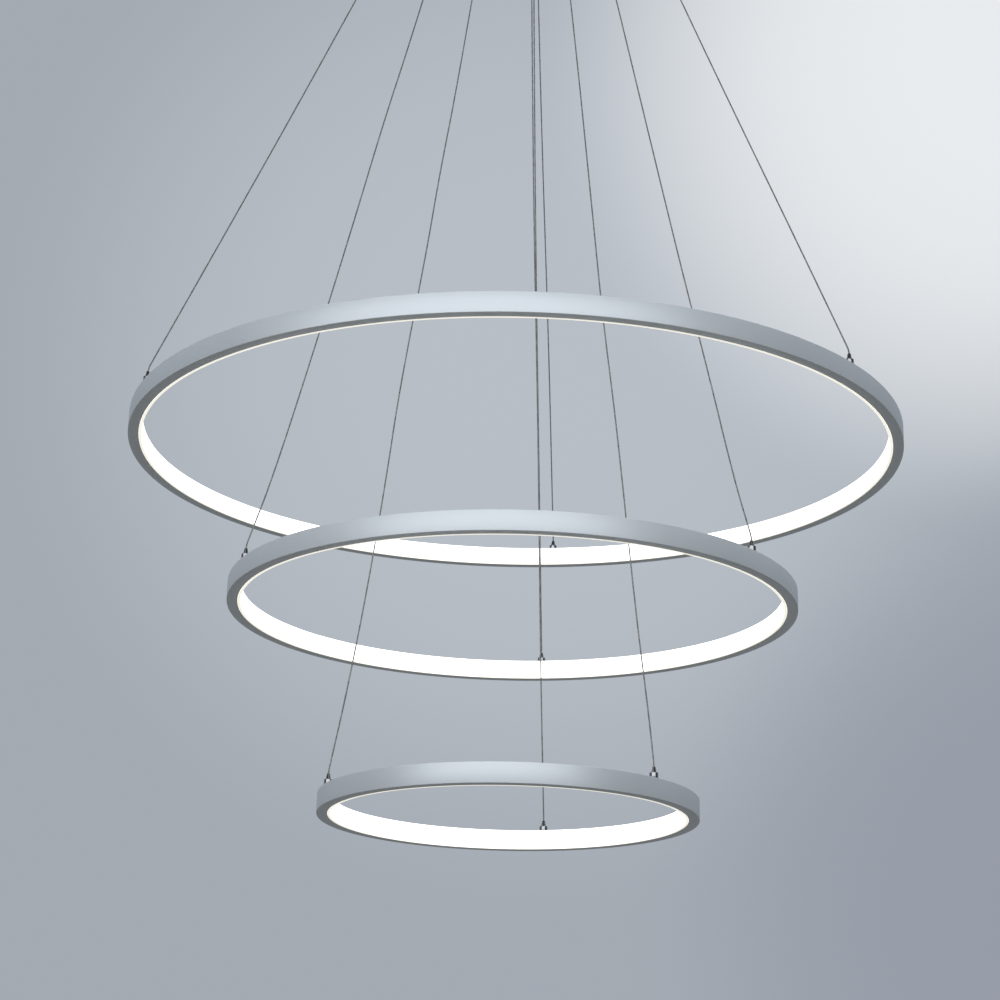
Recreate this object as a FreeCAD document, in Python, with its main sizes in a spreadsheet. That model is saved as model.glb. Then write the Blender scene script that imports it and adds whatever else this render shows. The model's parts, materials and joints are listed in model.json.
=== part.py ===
import FreeCAD, Part
import math
import os
import Sketcher

# Three-tier LED ring chandelier, in millimetres, with +Z up.
# The origin is the middle of the bracket's top face, where the light meets the ceiling.

SIZES = {
    # canopy cup and the strap that holds it to the ceiling
    "cup_radius": 110, "cup_height": 30, "cup_wall": 1.2, "cup_edge": 3,
    "strap_width": 24, "strap_thick": 2, "strap_play": 0.6, "strap_bend": 1.5, "ear_height": 17,
    "slot_spacing": 80, "slot_length": 20, "slot_width": 5,
    "side_screw_drop": 10, "side_screw_radius": 2, "side_screw_spare": 3,
    "thumb_radius": 4.5, "thumb_thick": 3.5, "thumb_edge": 0.6,
    "earth_place": 62, "earth_radius": 2, "earth_head_radius": 4, "earth_head_thick": 2.4,
    # cable gripper: body, cap, plunger, spring and lock nut
    "circle_large": 88, "circle_medium": 62, "circle_small": 33, "grip_azimuth": 83,
    "grip_radius": 5, "grip_length": 15, "grip_stub_radius": 4, "grip_stub_spare": 1.3,
    "grip_roof": 3, "spring_room_radius": 3.3,
    "cap_thick": 3, "cap_mouth_radius": 3.6, "cap_spigot": 3,
    "nozzle_radius": 2.2, "nozzle_reach": 4, "nozzle_edge": 0.4,
    "collar_radius": 3.2, "collar_thick": 2, "plunger_travel": 1.8,
    "grip_nut_flats": 11, "grip_nut_thick": 3,
    "spring_wire": 0.5, "spring_radius": 2.3, "spring_turns": 4,
    # cables
    "cable_radius": 0.8, "cable_bend": 10, "cable_lead": 3, "cable_tail": 6,
    # rings: outer radius, drop of the underside below the ceiling, and turn of the back cable from +X
    "radius_large": 400, "radius_medium": 290, "radius_small": 190,
    "drop_large": 807, "drop_medium": 974, "drop_small": 1185,
    "azimuth_large": 83, "azimuth_medium": 83, "azimuth_small": 78,
    # ring section: channel, diffuser and strip
    "ring_height": 20, "channel_width": 11, "channel_wall": 1.6, "channel_edge": 0.4,
    "butt_gap": 0.2, "butt_turn": 60,
    "lens_thick": 3, "lens_leg": 2.2, "lens_leg_thick": 1.2, "lens_edge": 0.8,
    "strip_width": 10, "strip_thick": 0.4, "chip_length": 2.8, "chip_height": 3.5, "chip_thick": 0.8,
    "chip_sink": 0.1, "chips_large": 96, "chips_medium": 72, "chips_small": 48,
    # cable nipple, its nut and the stop on the cable's end
    "nipple_inset": 5.5, "nipple_radius": 4.25, "nipple_height": 5.5, "nipple_edge": 0.5,
    "neck_foot_radius": 2.6, "neck_tip_radius": 1.5, "neck_height": 6,
    "nipple_stub_radius": 2, "nipple_stub_spare": 0.4, "nipple_nut_flats": 6, "nipple_nut_thick": 2,
    "stop_radius": 1.6, "stop_length": 5, "stop_depth": 4,
    # splice behind the ring's butt joint
    "splice_length": 40, "splice_width": 4.4, "splice_thick": 1.5, "splice_inset": 4.6,
    "splice_screw_radius": 1, "splice_head_radius": 1.9, "splice_head_thick": 1.1, "splice_pitch": 22,
    # driver and terminal blocks on the canopy's floor
    "driver_x": -58, "driver_y": -86, "driver_length": 92, "driver_width": 44, "driver_height": 18.5,
    "driver_wall": 1.5, "driver_lid": 1.5, "driver_port": 1.8, "port_rise": 11,
    "board_thick": 1.2, "board_gap": 0.5, "post_height": 3, "post_radius": 2, "post_inset": 6,
    "coil_length": 24, "coil_width": 20, "coil_height": 9, "coil_inset": 30,
    "can_radius": 4, "can_height": 9, "can_inset": 14, "sink_length": 12, "sink_width": 3, "sink_height": 8,
    "block_width": 14, "block_height": 12, "pole_pitch": 9, "mains_poles": 3, "output_poles": 6,
    "mains_x": 40, "mains_y": 18, "output_x": -86, "output_y": 24,
    "pole_port": 1.6, "pole_port_rise": 4, "well_radius": 2.2, "well_depth": 4, "pole_screw_thick": 2.5,
    # clearances
    "hole_play": 0.1, "fit_play": 0.05, "lens_play": 0.1,
}

RINGS = ("large", "medium", "small")
SIDES = {"back": 0, "left": 120, "right": 240}

# How each cable strays from a straight line: its share of the way down, then millimetres towards the
# middle of the light and millimetres round it. The waves are those that the cable keeps from its drum.
STRAYS = {
    ("large", "back"): [(0.36, 0.8, 1.0), (0.7, 0.4, -0.8)],
    ("large", "left"): [(0.3, 1.0, 0), (0.58, 2.0, 0.4), (0.82, 1.1, 0)],
    ("large", "right"): [(0.34, 0.3, 0.5), (0.55, 0.9, 0), (0.8, 0.2, 0.4)],
    ("medium", "back"): [(0.28, 0.6, 1.4), (0.52, 1.0, 1.7), (0.8, 0.4, 0.6)],
    ("medium", "left"): [(0.34, 2.7, 0), (0.44, 1.8, 0), (0.6, 4.1, 0.5), (0.78, 5.3, 0), (0.92, 4.6, 0)],
    ("medium", "right"): [(0.26, 0.6, 0), (0.47, 2.1, 0), (0.67, 3.4, 0.4), (0.79, 2.2, 0), (0.93, 3.0, 0)],
    ("small", "back"): [(0.22, 0.5, 1.2), (0.4, 0.9, 1.8), (0.62, 0.3, 0.3), (0.84, 0.6, 1.0)],
    ("small", "left"): [(0.29, 3.4, 0), (0.41, 1.7, 0.4), (0.48, 2.9, 0), (0.63, 1.0, 0),
                        (0.72, 4.0, 0.3), (0.83, 5.4, 0), (0.93, 3.6, 0)],
    ("small", "right"): [(0.25, -1.3, 0), (0.45, 1.3, 0.3), (0.57, 2.8, 0), (0.68, 0.1, 0),
                         (0.86, 2.2, 0.4), (0.95, -0.2, 0)],
}

NEAR = 1e-4  # two places this close are one
ARC_SHARE = 0.45  # of the shorter run, that a cable's arc takes up

doc = FreeCAD.newDocument("chandelier")
sheet = doc.addObject("Spreadsheet::Sheet", "Sizes")
for row, (word, value) in enumerate(SIZES.items(), start=1):
    sheet.set(f"A{row}", word)
    sheet.set(f"B{row}", str(value))
    sheet.setAlias(f"B{row}", word)
doc.recompute()

nodes = []


def size(word):
    return float(getattr(sheet, word))


def bind(thing, prop, text):
    """Ties a property to an expression in which each size stands in angle brackets."""
    thing.setExpression(prop, text.replace("<", "Sizes.").replace(">", ""))


# ---- helpers: bodies, sketches and features ----

def new_body(label, turn="0", height="0"):
    body = doc.addObject("PartDesign::Body", label)
    body.Label = label
    body.AllowCompound = True
    bind(body, "Placement", f"placement(vector(0; 0; {height}); rotation(vector(0; 0; 1); {turn}))")
    nodes.append(body)
    return body


def origin_part(body, role):
    return next(part for part in body.Origin.OriginFeatures if part.Role == role)


def new_sketch(body, plane, shift=("0", "0", "0")):
    sketch = body.newObject("Sketcher::SketchObject", "Sketch")
    sketch.AttachmentSupport = [(origin_part(body, plane), "")]
    sketch.MapMode = "FlatFace"
    for axis, text in zip("xyz", shift):
        bind(sketch, f".AttachmentOffset.Base.{axis}", text)
    return sketch


def pin_point(sketch, curve, point, across, up):
    for kind, text in (("DistanceX", across), ("DistanceY", up)):
        index = sketch.addConstraint(Sketcher.Constraint(kind, -1, 1, curve, point, 0))
        bind(sketch, f"Constraints[{index}]", text)


def add_outline(sketch, corners):
    first = sketch.GeometryCount
    count = len(corners)
    angles = [k * math.tau / count for k in range(count)]
    around = [FreeCAD.Vector(math.cos(angle), math.sin(angle)) for angle in angles]
    for k in range(count):
        sketch.addGeometry(Part.LineSegment(around[k], around[(k + 1) % count]), False)
    for k in range(count):
        sketch.addConstraint(Sketcher.Constraint("Coincident", first + k, 2, first + (k + 1) % count, 1))
    for k, (across, up) in enumerate(corners):
        pin_point(sketch, first + k, 1, across, up)


def add_circle(sketch, across, up, radius):
    curve = sketch.addGeometry(Part.Circle(FreeCAD.Vector(), FreeCAD.Vector(0, 0, 1), 1), False)
    pin_point(sketch, curve, 3, across, up)
    index = sketch.addConstraint(Sketcher.Constraint("Radius", curve, 1))
    bind(sketch, f"Constraints[{index}]", radius)


def turn(body, corners, along="0", across="0", up="0", axis="V_Axis", cut=False, angle="360", middle=False):
    """Revolves an outline about the upright axis at (along, across), or the level one at height up."""
    sketch = new_sketch(body, "XZ_Plane", (along, up, f"-({across})"))
    add_outline(sketch, corners)
    feature = body.newObject("PartDesign::Groove" if cut else "PartDesign::Revolution", "Turn")
    feature.Profile = sketch
    feature.ReferenceAxis = (sketch, [axis])
    feature.Midplane = middle
    bind(feature, "Angle", angle)
    body.Tip = feature
    return feature


def raise_shape(body, draw, low, high, cut=False):
    """Pads or pockets what draw puts in a level sketch, from height low to height high."""
    sketch = new_sketch(body, "XY_Plane", ("0", "0", high if cut else low))
    draw(sketch)
    feature = body.newObject("PartDesign::Pocket" if cut else "PartDesign::Pad", "Rise")
    feature.Profile = sketch
    bind(feature, "Length", f"({high}) - ({low})")
    body.Tip = feature
    return feature


def block(body, x, y, length, width, low, high, cut=False):
    corners = [(x, y), (f"{x} + {length}", y), (f"{x} + {length}", f"{y} + {width}"), (x, f"{y} + {width}")]
    return raise_shape(body, lambda sketch: add_outline(sketch, corners), low, high, cut)


def disc(body, x, y, radius, low, high, cut=False):
    return raise_shape(body, lambda sketch: add_circle(sketch, x, y, radius), low, high, cut)


def hex_nut(body, x, flats, hole, low, high):
    """A nut with two flats square to the X axis."""
    corner = f"{flats} / 2 / cos(30)"
    corners = [(f"{x} + {corner} * cos({30 + 60 * k})", f"{corner} * sin({30 + 60 * k})") for k in range(6)]

    def draw(sketch):
        add_outline(sketch, corners)
        add_circle(sketch, x, "0", hole)
    return raise_shape(body, draw, low, high)


def repeat(body, features, count):
    pattern = body.newObject("PartDesign::PolarPattern", "Repeat")
    pattern.Originals = features
    pattern.Axis = (origin_part(body, "Z_Axis"), [""])
    pattern.Angle = 360
    bind(pattern, "Occurrences", str(count))
    body.Tip = pattern
    return pattern


def soften(body, kind, amount, wanted):
    """Rounds or bevels the edges that wanted() picks."""
    doc.recompute()
    base = body.Tip
    picked = [f"Edge{n}" for n, edge in enumerate(base.Shape.Edges, start=1) if wanted(edge)]
    feature = body.newObject(f"PartDesign::{kind}", "Soften")
    feature.Base = (base, picked)
    bind(feature, "Radius" if kind == "Fillet" else "Size", amount)
    body.Tip = feature
    return feature


def is_round(edge, radius, height):
    curve = edge.Curve
    return isinstance(curve, Part.Circle) and abs(curve.Radius - radius) < NEAR and \
        abs(curve.Center.z - height) < NEAR


# ---- shared heights and lengths, as expressions ----

SEAT = "-<cup_height>"
FLOOR = "-(<cup_height> - <cup_wall>)"
STRAP_HALF = "sqrt((<cup_radius> - <cup_wall> - <strap_play>)^2 - (<strap_width> / 2)^2)"
STUB_TOP = f"{FLOOR} + <grip_nut_thick> + <grip_stub_spare>"
GRIP_FOOT = f"{SEAT} - <grip_length>"
SPRING_ROOF = f"{SEAT} - <grip_roof>"
COLLAR_SEAT = f"{GRIP_FOOT} + <cap_spigot>"
MOUTH = f"{GRIP_FOOT} - <cap_thick> - <nozzle_reach>"
BORE = "(<cable_radius> + <fit_play>)"
FLANGE = "(<ring_height> - <channel_wall>)"
NUT_FOOT = f"({FLANGE} - <nipple_nut_thick>)"
NIPPLE_FOOT = f"({NUT_FOOT} - <nipple_stub_spare>)"
NECK_TIP = "<ring_height> + <nipple_height> + <neck_height>"


# ---- canopy ----

def make_canopy_cup():
    body = new_body("canopy_cup")
    inner = "<cup_radius> - <cup_wall>"
    turn(body, [("0", SEAT), ("<cup_radius>", SEAT), ("<cup_radius>", "0"), (inner, "0"), (inner, FLOOR),
                ("0", FLOOR)])
    radius, height, wall = size("cup_radius"), size("cup_height"), size("cup_wall")
    soften(body, "Fillet", "<cup_edge>", lambda edge: is_round(edge, radius, -height))
    soften(body, "Fillet", "<cup_edge> - <cup_wall>",
           lambda edge: is_round(edge, radius - wall, wall - height))
    holes = [disc(body, f"<circle_{ring}> * cos(<grip_azimuth>)", f"<circle_{ring}> * sin(<grip_azimuth>)",
                  "<grip_stub_radius> + <hole_play>", SEAT, FLOOR, cut=True) for ring in RINGS]
    repeat(body, holes, len(SIDES))
    hole = "<side_screw_radius> + <hole_play>"
    screw_hole = turn(body, [(inner + " - <cup_wall>", "0"), (inner + " - <cup_wall>", hole),
                             ("<cup_radius> + <cup_wall>", hole), ("<cup_radius> + <cup_wall>", "0")],
                      up="-<side_screw_drop>", axis="H_Axis", cut=True)
    repeat(body, [screw_hole], 2)


def make_ceiling_bracket():
    body = new_body("ceiling_bracket")
    block(body, f"-{STRAP_HALF}", "-<strap_width> / 2", f"2 * {STRAP_HALF}", "<strap_width>",
          "-<strap_thick>", "0")
    ear = block(body, f"{STRAP_HALF} - <strap_thick>", "-<strap_width> / 2", "<strap_thick>", "<strap_width>",
                "-<ear_height>", "-<strap_thick>")
    repeat(body, [ear], 2)
    room = size("cup_radius") - size("cup_wall") - size("strap_play")
    half = math.sqrt(room ** 2 - (size("strap_width") / 2) ** 2)

    def is_bend(edge):
        box = edge.BoundBox
        on_top = abs(box.ZMin) < NEAR and abs(box.ZMax) < NEAR
        return on_top and abs(abs(box.XMin) - half) < NEAR and box.XLength < NEAR
    soften(body, "Fillet", "<strap_bend>", is_bend)
    hole = "<side_screw_radius> + <fit_play>"
    start, end = f"{STRAP_HALF} - 2 * <strap_thick>", f"{STRAP_HALF} + <strap_thick>"
    screw_hole = turn(body, [(start, "0"), (start, hole), (end, hole), (end, "0")],
                      up="-<side_screw_drop>", axis="H_Axis", cut=True)
    straight = "(<slot_length> - <slot_width>)"
    low, high = "-<strap_thick>", "0"
    slot = [block(body, f"<slot_spacing> / 2 - {straight} / 2", "-<slot_width> / 2", straight, "<slot_width>",
                  low, high, cut=True)]
    for sign in "+-":
        end = f"<slot_spacing> / 2 {sign} {straight} / 2"
        slot.append(disc(body, end, "0", "<slot_width> / 2", low, high, cut=True))
    repeat(body, [screw_hole] + slot, 2)
    disc(body, "<earth_place>", "0", "<earth_radius> + <fit_play>", low, high, cut=True)


def make_canopy_screws():
    body = new_body("canopy_side_screws")
    start = f"{STRAP_HALF} - <strap_thick> - <side_screw_spare>"
    end = "<cup_radius> + <thumb_thick>"
    screw = turn(body, [(start, "0"), (start, "<side_screw_radius>"), ("<cup_radius>", "<side_screw_radius>"),
                        ("<cup_radius>", "<thumb_radius>"), (f"{end} - <thumb_edge>", "<thumb_radius>"),
                        (end, "<thumb_radius> - <thumb_edge>"), (end, "0")],
                 up="-<side_screw_drop>", axis="H_Axis")
    repeat(body, [screw], 2)
    body = new_body("earth_screw")
    head = "-<strap_thick> - <earth_head_thick>"
    turn(body, [("0", head), ("<earth_head_radius>", head), ("<earth_head_radius>", "-<strap_thick>"),
                ("<earth_radius>", "-<strap_thick>"), ("<earth_radius>", "-<fit_play>"),
                ("0", "-<fit_play>")],
         along="<earth_place>")


# ---- cable grippers ----

def make_turned_grips(label, corners):
    body = new_body(label, "<grip_azimuth>")
    repeat(body, [turn(body, corners, along=f"<circle_{ring}>") for ring in RINGS], len(SIDES))


def make_grippers():
    make_turned_grips("gripper_bodies", [
        (BORE, STUB_TOP), ("<grip_stub_radius>", STUB_TOP), ("<grip_stub_radius>", SEAT),
        ("<grip_radius>", SEAT), ("<grip_radius>", GRIP_FOOT), ("<spring_room_radius>", GRIP_FOOT),
        ("<spring_room_radius>", SPRING_ROOF), (BORE, SPRING_ROOF)])
    mouth = "<nozzle_radius> + <fit_play>"
    spigot = "<spring_room_radius> - <fit_play>"
    foot = f"{GRIP_FOOT} - <cap_thick>"
    make_turned_grips("gripper_caps", [
        (mouth, COLLAR_SEAT), (spigot, COLLAR_SEAT), (spigot, GRIP_FOOT), ("<grip_radius>", GRIP_FOOT),
        ("<cap_mouth_radius>", foot), (mouth, foot)])
    body = new_body("gripper_lock_nuts", "<grip_azimuth>")
    nuts = [hex_nut(body, f"<circle_{ring}>", "<grip_nut_flats>", "<grip_stub_radius> + <fit_play>",
                    FLOOR, f"{FLOOR} + <grip_nut_thick>") for ring in RINGS]
    repeat(body, nuts, len(SIDES))


def make_plunger(ring, side):
    body = new_body(f"plunger_{ring}_{side}", f"<grip_azimuth> + {SIDES[side]}")
    top = f"{COLLAR_SEAT} + <collar_thick>"
    turn(body, [(BORE, top), ("<collar_radius>", top), ("<collar_radius>", COLLAR_SEAT),
                ("<nozzle_radius>", COLLAR_SEAT), ("<nozzle_radius>", f"{MOUTH} + <nozzle_edge>"),
                ("<nozzle_radius> - <nozzle_edge>", MOUTH), (BORE, MOUTH)], along=f"<circle_{ring}>")


def biarc(start, start_way, end, end_way):
    """Two tangent arcs from start to end, leaving and arriving in the given directions."""
    gap = end - start
    both = start_way + end_way
    spread = 2 * (1 - start_way.dot(end_way))
    reach = (math.sqrt(gap.dot(both) ** 2 + spread * gap.dot(gap)) - gap.dot(both)) / spread
    first, second = start + start_way * reach, end - end_way * reach
    joint = (first + second) / 2
    arcs = []
    for a, tip, b in ((start, first, joint), (joint, second, end)):
        chord = (a + b) / 2
        half = math.atan2((tip - chord).Length, (b - a).Length / 2)
        arcs.append(Part.Arc(a, chord + (tip - chord) * (math.tan(half / 2) / math.tan(half)), b).toShape())
    return arcs


def make_springs():
    """Nine release springs, drawn at the length they have with the plunger pressed."""
    wire, radius, turns = size("spring_wire"), size("spring_radius"), int(size("spring_turns"))
    foot = -size("cup_height") - size("grip_length") + size("cap_spigot") + size("collar_thick") + \
        size("plunger_travel") + size("hole_play")
    roof = -size("cup_height") - size("grip_roof")
    rise = (roof - foot - wire) / turns
    print("spring gap", round(rise - wire, 2))

    def point(angle):
        return FreeCAD.Vector(radius * math.cos(angle), radius * math.sin(angle), rise * angle / math.tau)

    def way(angle):
        across, along = -radius * math.sin(angle), radius * math.cos(angle)
        return FreeCAD.Vector(across, along, rise / math.tau).normalize()
    quarter = math.pi / 2
    edges = []
    for k in range(4 * turns):
        edges += biarc(point(k * quarter), way(k * quarter), point((k + 1) * quarter), way((k + 1) * quarter))
    section = Part.Wire(Part.makeCircle(wire / 2, point(0), way(0)))
    spring = Part.Wire(edges).makePipeShell([section], True, False)
    copies = []
    for ring in RINGS:
        for angle in SIDES.values():
            copy = spring.copy()
            copy.translate(FreeCAD.Vector(size(f"circle_{ring}"), 0, foot + wire / 2))
            copy.rotate(FreeCAD.Vector(), FreeCAD.Vector(0, 0, 1), size("grip_azimuth") + angle)
            copies.append(copy)
    add_shape("gripper_springs", Part.makeCompound(copies))


def add_shape(label, shape):
    feature = doc.addObject("Part::Feature", label)
    feature.Label = label
    feature.Shape = shape
    feature.Placement = FreeCAD.Placement()
    nodes.append(feature)


# ---- driver and terminals ----

def make_driver():
    length, width, wall = "<driver_length>", "<driver_width>", "<driver_wall>"
    x, y, top = "<driver_x>", "<driver_y>", f"{FLOOR} + <driver_height>"
    body = new_body("driver_case")
    block(body, x, y, length, width, FLOOR, top)
    block(body, f"{x} + {wall}", f"{y} + {wall}", f"{length} - 2 * {wall}", f"{width} - 2 * {wall}",
          f"{FLOOR} + {wall}", top, cut=True)
    for post_x in (f"{x} + <post_inset>", f"{x} + {length} - <post_inset>"):
        for post_y in (f"{y} + <post_inset>", f"{y} + {width} - <post_inset>"):
            disc(body, post_x, post_y, "<post_radius>", f"{FLOOR} + {wall}",
                 f"{FLOOR} + {wall} + <post_height>")
    ends = [(f"{x} - {wall}", "0"), (f"{x} - {wall}", "<driver_port>"),
            (f"{x} + {length} + {wall}", "<driver_port>"), (f"{x} + {length} + {wall}", "0")]
    turn(body, ends, across=f"{y} + {width} / 2", up=f"{FLOOR} + <port_rise>", axis="H_Axis", cut=True)

    body = new_body("driver_lid")
    inset = f"({wall} + <hole_play>)"
    block(body, x, y, length, width, top, f"{top} + <driver_lid>")
    block(body, f"{x} + {inset}", f"{y} + {inset}", f"{length} - 2 * {inset}", f"{width} - 2 * {inset}",
          f"{top} - {wall}", top)

    body = new_body("driver_board")
    inset = f"({wall} + <board_gap>)"
    low = f"{FLOOR} + {wall} + <post_height>"
    high = f"{low} + <board_thick>"
    block(body, f"{x} + {inset}", f"{y} + {inset}", f"{length} - 2 * {inset}", f"{width} - 2 * {inset}",
          low, high)
    block(body, f"{x} + <coil_inset>", f"{y} + {width} / 2 - <coil_width> / 2",
          "<coil_length>", "<coil_width>", high, f"{high} + <coil_height>")
    for can_y in (f"{y} + {width} / 2 - <can_inset>", f"{y} + {width} / 2 + <can_inset>"):
        disc(body, f"{x} + <can_inset>", can_y, "<can_radius>", high, f"{high} + <can_height>")
        disc(body, f"{x} + {length} - <can_inset>", can_y, "<can_radius>", high, f"{high} + <can_height>")
    block(body, f"{x} + {length} - <coil_inset>", f"{y} + {width} / 2 - <sink_length> / 2", "<sink_width>",
          "<sink_length>", high, f"{high} + <sink_height>")


def make_terminal_block(kind):
    poles = int(size(f"{kind}_poles"))
    x, y, top = f"<{kind}_x>", f"<{kind}_y>", f"{FLOOR} + <block_height>"
    body = new_body(f"{kind}_terminal_block")
    block(body, x, y, f"<{kind}_poles> * <pole_pitch>", "<block_width>", FLOOR, top)
    centres = [f"{x} + <pole_pitch> * {k + 0.5}" for k in range(poles)]
    for centre in centres:
        port = new_sketch(body, "XZ_Plane", ("0", "0", f"-({y} + <block_width>)"))
        add_circle(port, centre, f"{FLOOR} + <pole_port_rise>", "<pole_port>")
        pocket = body.newObject("PartDesign::Pocket", "Port")
        pocket.Profile = port
        pocket.Reversed = True
        bind(pocket, "Length", "<block_width>")
        body.Tip = pocket
        disc(body, centre, f"{y} + <block_width> / 2", "<well_radius>", f"{top} - <well_depth>", top,
             cut=True)
    return [(centre, f"{y} + <block_width> / 2", f"{top} - <well_depth>") for centre in centres]


def make_terminals():
    wells = make_terminal_block("mains") + make_terminal_block("output")
    body = new_body("terminal_screws")
    for x, y, low in wells:
        disc(body, x, y, "<well_radius> - <hole_play>", low, f"{low} + <pole_screw_thick>")


# ---- rings ----

def make_ring(ring):
    outer = f"<radius_{ring}>"
    inner = f"{outer} - <channel_width>"
    wall, tall = "<channel_wall>", "<ring_height>"
    place = (f"<azimuth_{ring}>", f"-<drop_{ring}>")
    joint_place = (f"<azimuth_{ring}> + <butt_turn>", f"-<drop_{ring}>")
    around = len(SIDES)
    radius, height = size(f"radius_{ring}"), size("ring_height")

    body = new_body(f"{ring}_channel", *joint_place)
    web = f"{outer} - {wall}"
    turn(body, [(inner, "0"), (outer, "0"), (outer, tall), (inner, tall), (inner, FLANGE), (web, FLANGE),
                (web, wall), (inner, wall)], angle=f"360 - <butt_gap> / {outer} * 180 / pi")
    soften(body, "Chamfer", "<channel_edge>",
           lambda edge: is_round(edge, radius, 0) or is_round(edge, radius, height))
    place_radius = f"({outer} - <nipple_inset>)"
    hole = disc(body, f"{place_radius} * cos(<butt_turn>)", f"-{place_radius} * sin(<butt_turn>)",
                "<nipple_stub_radius> + <hole_play>", FLANGE, tall, cut=True)
    repeat(body, [hole], around)
    screw_radius = f"({outer} - <splice_inset>)"
    screw_x = f"sqrt({screw_radius}^2 - (<splice_pitch> / 2)^2)"
    screw_places = [(screw_x, f"{sign}<splice_pitch> / 2") for sign in ("", "-")]
    for x, y in screw_places:
        disc(body, x, y, "<splice_screw_radius> + <hole_play>", FLANGE, tall, cut=True)

    body = new_body(f"{ring}_splice_plate", *joint_place)
    near, far = f"{screw_radius} - <splice_width> / 2", f"{screw_radius} + <splice_width> / 2"
    low = f"({FLANGE} - <splice_thick>)"
    turn(body, [(near, low), (far, low), (far, FLANGE), (near, FLANGE)],
         angle=f"<splice_length> / {screw_radius} * 180 / pi", middle=True)
    for x, y in screw_places:
        disc(body, x, y, "<splice_screw_radius> + <fit_play>", low, FLANGE, cut=True)

    body = new_body(f"{ring}_splice_screws", *joint_place)
    for x, y in screw_places:
        disc(body, x, y, "<splice_screw_radius>", low, tall)
        disc(body, x, y, "<splice_head_radius>", tall, f"{tall} + <splice_head_thick>")

    body = new_body(f"{ring}_diffuser", *place)
    face = f"{inner} - <lens_thick>"
    tip = f"{inner} + <lens_leg>"
    low, high = f"{wall} + <lens_play>", f"{FLANGE} - <lens_play>"
    turn(body, [(face, "0"), (inner, "0"), (inner, low), (tip, low), (tip, f"{low} + <lens_leg_thick>"),
                (inner, f"{low} + <lens_leg_thick>"), (inner, f"{high} - <lens_leg_thick>"),
                (tip, f"{high} - <lens_leg_thick>"), (tip, high), (inner, high), (inner, tall), (face, tall)])
    face_radius = radius - size("channel_width") - size("lens_thick")
    soften(body, "Fillet", "<lens_edge>",
           lambda edge: is_round(edge, face_radius, 0) or is_round(edge, face_radius, height))

    body = new_body(f"{ring}_led_strip", *place)
    back = f"({web} - <strip_thick>)"
    low, high = f"({tall} - <strip_width>) / 2", f"({tall} + <strip_width>) / 2"
    turn(body, [(back, low), (web, low), (web, high), (back, high)])
    chip = block(body, f"{back} - <chip_thick>", "-<chip_length> / 2", "<chip_thick> + <chip_sink>",
                 "<chip_length>", f"({tall} - <chip_height>) / 2", f"({tall} + <chip_height>) / 2")
    repeat(body, [chip], f"<chips_{ring}>")

    body = new_body(f"{ring}_cable_nipples", *place)
    head = f"{tall} + <nipple_height>"
    nipple = turn(body, [
        (BORE, NIPPLE_FOOT), ("<nipple_stub_radius>", NIPPLE_FOOT), ("<nipple_stub_radius>", tall),
        ("<nipple_radius>", tall), ("<nipple_radius>", f"{head} - <nipple_edge>"),
        ("<nipple_radius> - <nipple_edge>", head), ("<neck_foot_radius>", head),
        ("<neck_tip_radius>", NECK_TIP), (BORE, NECK_TIP)], along=place_radius)
    repeat(body, [nipple], around)

    body = new_body(f"{ring}_nipple_nuts", *place)
    repeat(body, [hex_nut(body, place_radius, "<nipple_nut_flats>", "<nipple_stub_radius> + <fit_play>",
                          NUT_FOOT, FLANGE)], around)

    body = new_body(f"{ring}_cable_stops", *place)
    foot, seat = f"{NIPPLE_FOOT} - <stop_length>", f"{NIPPLE_FOOT} - <stop_depth>"
    stop = turn(body, [("0", foot), ("<stop_radius>", foot), ("<stop_radius>", NIPPLE_FOOT),
                       (BORE, NIPPLE_FOOT), (BORE, seat), ("0", seat)], along=place_radius)
    repeat(body, [stop], around)


# ---- cables ----

def polar(radius, angle, height):
    way = math.radians(angle)
    return FreeCAD.Vector(radius * math.cos(way), radius * math.sin(way), height)


def cable_route(ring, side):
    """From the tail in the canopy down through the gripper, down in small waves, and into the nipple."""
    tail = -size("cup_height") + size("cup_wall") + size("grip_nut_thick") + size("grip_stub_spare") \
        + size("cable_tail")
    mouth = -size("cup_height") - size("grip_length") - size("cap_thick") - size("nozzle_reach")
    neck = -size(f"drop_{ring}") + size("ring_height") + size("nipple_height") + size("neck_height")
    foot = -size(f"drop_{ring}") + size("ring_height") - size("channel_wall") - size("nipple_nut_thick") \
        - size("nipple_stub_spare") - size("stop_depth") + size("fit_play")
    top_place = (size(f"circle_{ring}"), size("grip_azimuth") + SIDES[side])
    low_place = (size(f"radius_{ring}") - size("nipple_inset"), size(f"azimuth_{ring}") + SIDES[side])
    start = polar(*top_place, mouth - size("cable_lead"))
    end = polar(*low_place, neck + size("cable_lead"))
    outward = FreeCAD.Vector(end.x - start.x, end.y - start.y, 0).normalize()
    round_it = FreeCAD.Vector(-outward.y, outward.x, 0)
    middle = [start + (end - start) * share - outward * inward + round_it * sideways
              for share, inward, sideways in STRAYS[ring, side]]
    return [polar(*top_place, tail), start] + middle + [end, polar(*low_place, foot)]


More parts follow.
